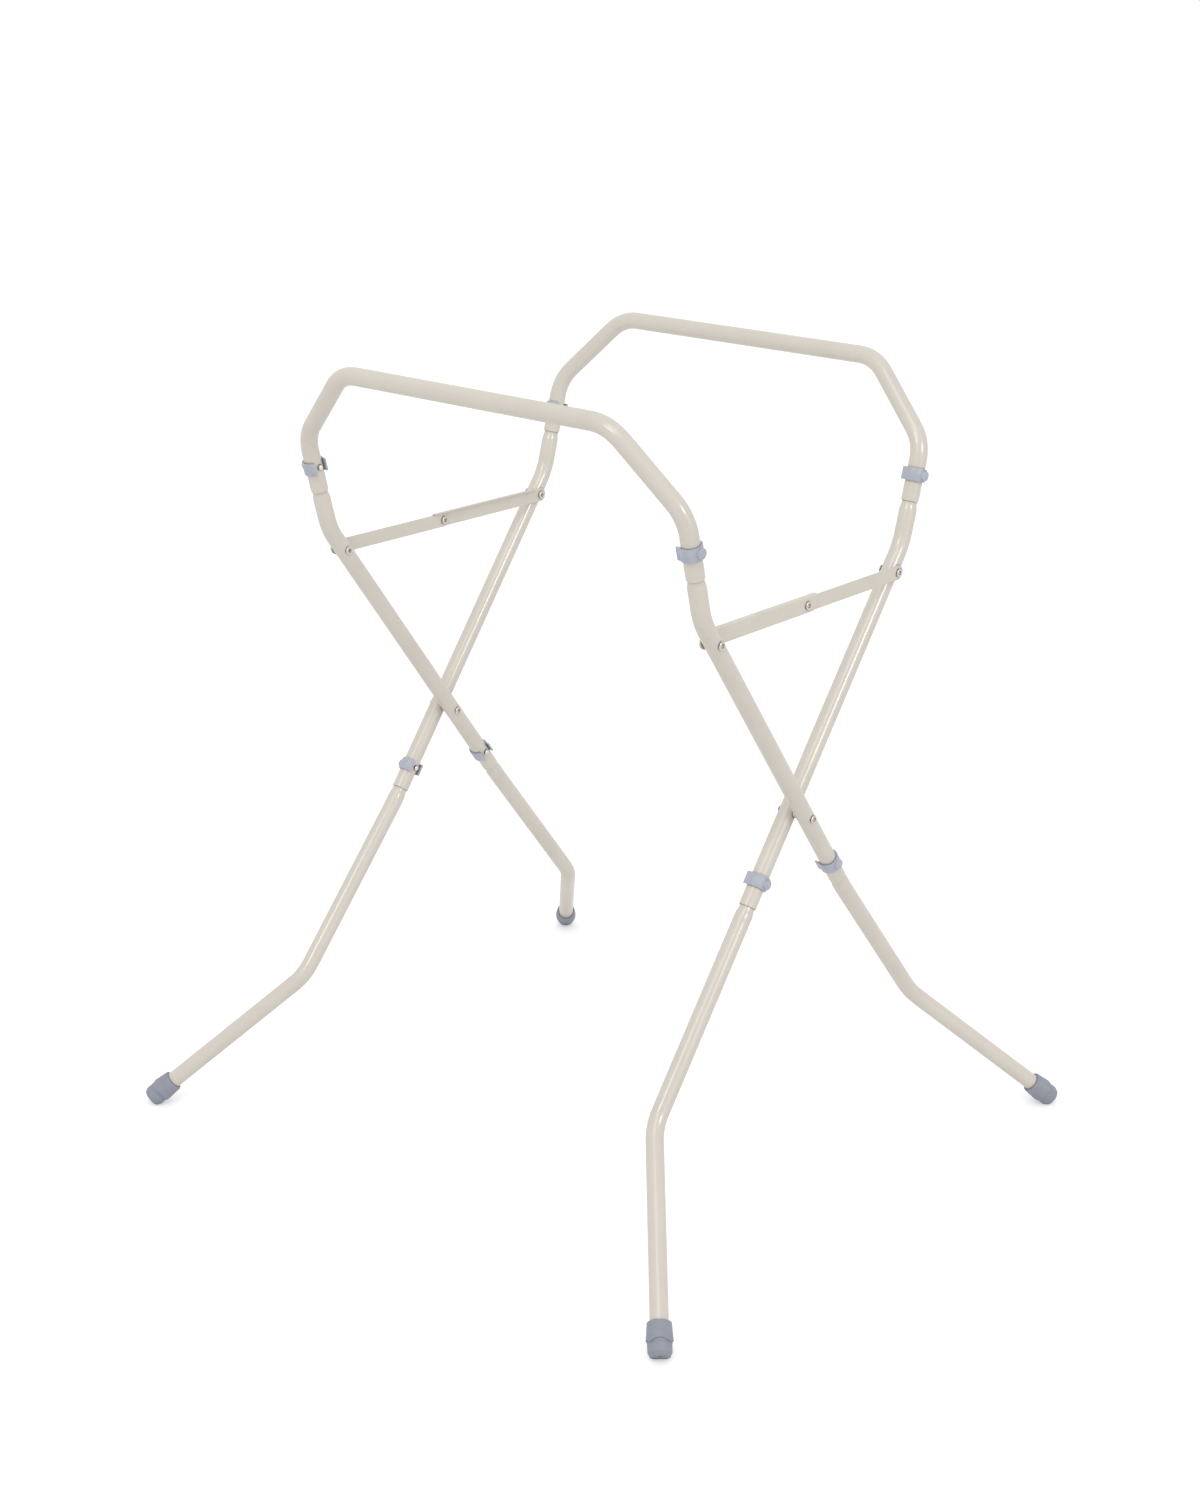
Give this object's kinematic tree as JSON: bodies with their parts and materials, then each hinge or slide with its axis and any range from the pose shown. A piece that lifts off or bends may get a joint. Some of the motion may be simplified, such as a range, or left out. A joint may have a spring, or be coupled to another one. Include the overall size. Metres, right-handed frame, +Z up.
{
  "type": "baby bath stand",
  "caption": "Folding tubular stand for a baby bath: crossed legs, leaning hoops that carry the bath, folding side braces, spring-button joints and rubber feet.",
  "frame": {"origin": "on the floor, at the middle of the stand, straight under the crossing rivets' common axis", "axes": "+X along the crossing rivets and hoop rails to the stand's right, +Z up, front hoop leaning towards -Y"},
  "size_m": [0.814, 0.7326, 0.8883],
  "materials": {
    "tube": "semi-gloss powder coat, warm light grey",
    "bar": "semi-gloss powder coat, warm light grey",
    "clip": "satin moulded, light blue-grey",
    "foot": "matte moulded, blue-grey",
    "button": "bright plated",
    "rivet": "bright zinc plated"
  },
  "bodies": {
    "front_frame": {"front_hoop": "tube", "front_right_upper_leg": "tube", "front_right_lower_leg": "tube", "front_right_foot": "foot", "front_right_hoop_clip": "clip", "front_right_leg_clip": "clip", "front_left_upper_leg": "tube", "front_left_lower_leg": "tube", "front_left_foot": "foot", "front_left_hoop_clip": "clip", "front_left_leg_clip": "clip", "front_button_springs": "button", "right_crossing_rivet": "rivet", "left_crossing_rivet": "rivet", "right_crossing_bush": "rivet", "left_crossing_bush": "rivet", "right_flanged_bar_rivet": "rivet", "left_leg_stud": "rivet"},
    "rear_frame": {"rear_hoop": "tube", "rear_right_upper_leg": "tube", "rear_right_lower_leg": "tube", "rear_right_foot": "foot", "rear_right_hoop_clip": "clip", "rear_right_leg_clip": "clip", "rear_left_upper_leg": "tube", "rear_left_lower_leg": "tube", "rear_left_foot": "foot", "rear_left_hoop_clip": "clip", "rear_left_leg_clip": "clip", "rear_button_springs": "button", "left_flanged_bar_rivet": "rivet", "right_leg_stud": "rivet"},
    "right_flanged_bar": {"right_flanged_bar": "bar", "right_elbow_rivet": "rivet"},
    "right_plain_bar": {"right_plain_bar": "bar", "right_plain_bar_rivet": "rivet"},
    "left_flanged_bar": {"left_flanged_bar": "bar", "left_elbow_rivet": "rivet"},
    "left_plain_bar": {"left_plain_bar": "bar", "left_plain_bar_rivet": "rivet"},
    "front_right_hoop_button": {"front_right_hoop_button": "button"},
    "front_right_leg_button": {"front_right_leg_button": "button"},
    "front_left_hoop_button": {"front_left_hoop_button": "button"},
    "front_left_leg_button": {"front_left_leg_button": "button"},
    "rear_right_hoop_button": {"rear_right_hoop_button": "button"},
    "rear_right_leg_button": {"rear_right_leg_button": "button"},
    "rear_left_hoop_button": {"rear_left_hoop_button": "button"},
    "rear_left_leg_button": {"rear_left_leg_button": "button"}
  },
  "joints": [
    {"name": "fold", "type": "hinge", "parent": "front_frame", "child": "rear_frame", "pos_m": [0, 0, 0.4379], "axis": [1, 0, 0], "range_deg": [0, 52]},
    {"name": "right_flanged_bar_hinge", "type": "hinge", "parent": "front_frame", "child": "right_flanged_bar", "pos_m": [0.2575, -0.16992, 0.6667], "axis": [1, 0, 0], "range_deg": [-0.5, 98.6]},
    {"name": "right_elbow", "type": "hinge", "parent": "right_flanged_bar", "child": "right_plain_bar", "pos_m": [0.2575, 0, 0.6667], "axis": [1, 0, 0], "range_deg": [-144.6, 0.5]},
    {"name": "left_flanged_bar_hinge", "type": "hinge", "parent": "rear_frame", "child": "left_flanged_bar", "pos_m": [-0.2575, 0.16992, 0.6667], "axis": [1, 0, 0], "range_deg": [-98.6, 0.5]},
    {"name": "left_elbow", "type": "hinge", "parent": "left_flanged_bar", "child": "left_plain_bar", "pos_m": [-0.2575, 0, 0.6667], "axis": [1, 0, 0], "range_deg": [-0.5, 144.6]},
    {"name": "front_right_hoop_button_press", "type": "slide", "parent": "front_frame", "child": "front_right_hoop_button", "axis": [1, 0, 0], "range_m": [0, 0.0044], "stiffness_N_per_m": 600},
    {"name": "front_right_leg_button_press", "type": "slide", "parent": "front_frame", "child": "front_right_leg_button", "axis": [1, 0, 0], "range_m": [0, 0.0044], "stiffness_N_per_m": 600},
    {"name": "front_left_hoop_button_press", "type": "slide", "parent": "front_frame", "child": "front_left_hoop_button", "axis": [-1, 0, 0], "range_m": [0, 0.0044], "stiffness_N_per_m": 600},
    {"name": "front_left_leg_button_press", "type": "slide", "parent": "front_frame", "child": "front_left_leg_button", "axis": [-1, 0, 0], "range_m": [0, 0.0044], "stiffness_N_per_m": 600},
    {"name": "rear_right_hoop_button_press", "type": "slide", "parent": "rear_frame", "child": "rear_right_hoop_button", "axis": [1, 0, 0], "range_m": [0, 0.0044], "stiffness_N_per_m": 600},
    {"name": "rear_right_leg_button_press", "type": "slide", "parent": "rear_frame", "child": "rear_right_leg_button", "axis": [1, 0, 0], "range_m": [0, 0.0044], "stiffness_N_per_m": 600},
    {"name": "rear_left_hoop_button_press", "type": "slide", "parent": "rear_frame", "child": "rear_left_hoop_button", "axis": [-1, 0, 0], "range_m": [0, 0.0044], "stiffness_N_per_m": 600},
    {"name": "rear_left_leg_button_press", "type": "slide", "parent": "rear_frame", "child": "rear_left_leg_button", "axis": [-1, 0, 0], "range_m": [0, 0.0044], "stiffness_N_per_m": 600}
  ],
  "couplings": [
    {"joint": "right_flanged_bar_hinge", "follows": "fold", "ratio": 1.8852},
    {"joint": "right_elbow", "follows": "fold", "ratio": -2.7704},
    {"joint": "left_flanged_bar_hinge", "follows": "fold", "ratio": -1.8852},
    {"joint": "left_elbow", "follows": "fold", "ratio": 2.7704}
  ]
}
